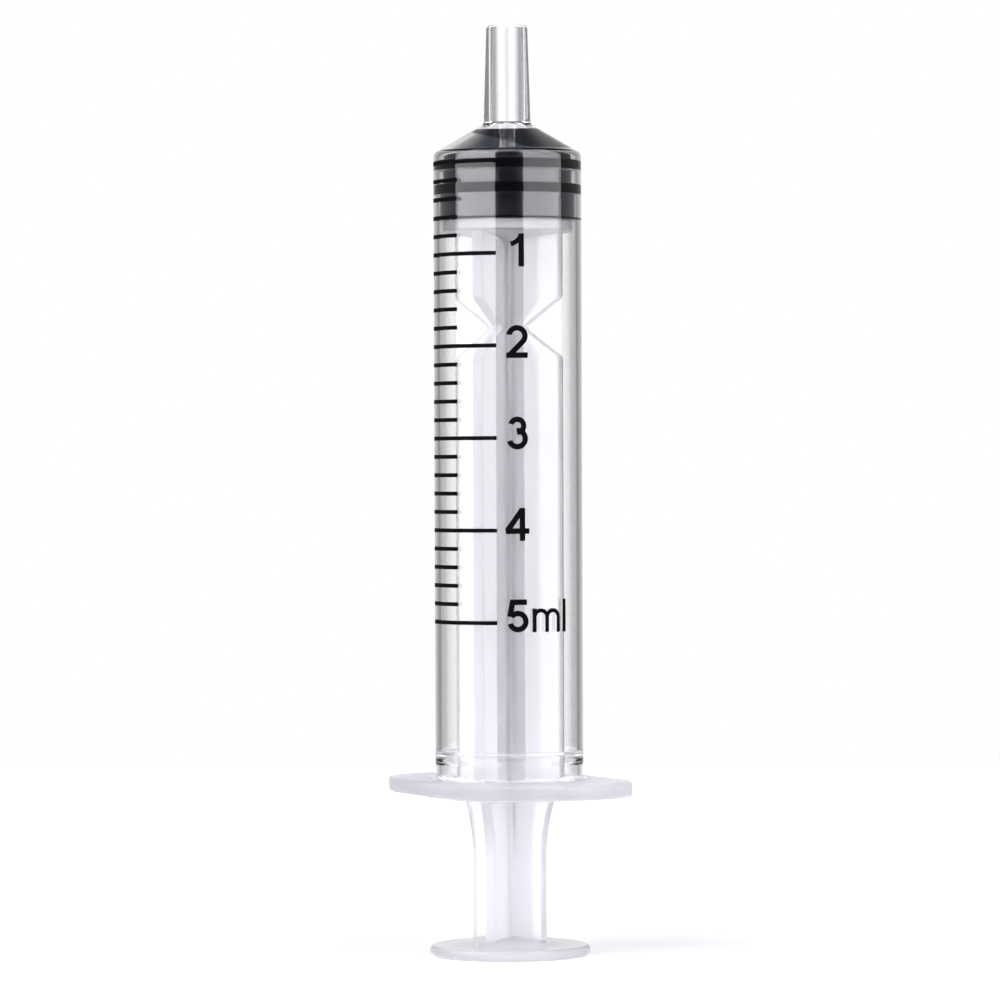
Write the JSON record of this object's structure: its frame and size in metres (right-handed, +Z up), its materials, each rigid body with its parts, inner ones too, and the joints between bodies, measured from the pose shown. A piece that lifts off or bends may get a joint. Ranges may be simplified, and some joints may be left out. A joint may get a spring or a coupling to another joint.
{
  "type": "oral syringe",
  "caption": "Clear oral syringe with a tapered tip, shoulder cone, finger flange, printed millilitre scale, black rubber gasket and a cross-web plunger with a thumb disc.",
  "frame": {"origin": "centre of the thumb disc's underside, which is also the bottom centre of the whole box", "axes": "+Z up the syringe's axis to the nozzle's tip, X along the two finger wings"},
  "size_m": [0.025, 0.0172, 0.0843],
  "materials": {
    "clear_plastic": "clear polypropylene, polished inside and out",
    "ink": "black printing ink, slightly glossy",
    "black_rubber": "smooth moulded rubber with a thin film of silicone oil",
    "milky_plastic": "natural polypropylene, translucent and slightly milky"
  },
  "bodies": {
    "barrel": {"barrel": "clear_plastic", "graduation_lines": "ink", "scale_figures": "ink"},
    "gasket": {"gasket": "black_rubber"},
    "plunger": {"plunger_rod": "milky_plastic"}
  },
  "joints": [
    {"name": "plunger_stroke", "type": "slide", "parent": "barrel", "child": "gasket", "axis": [0, 0, -1], "range_m": [0, 0.0478]},
    {"name": "rod_swivel", "type": "hinge", "parent": "gasket", "child": "plunger", "pos_m": [0, 0, 0.0678], "axis": [0, 0, 1], "continuous": true}
  ]
}
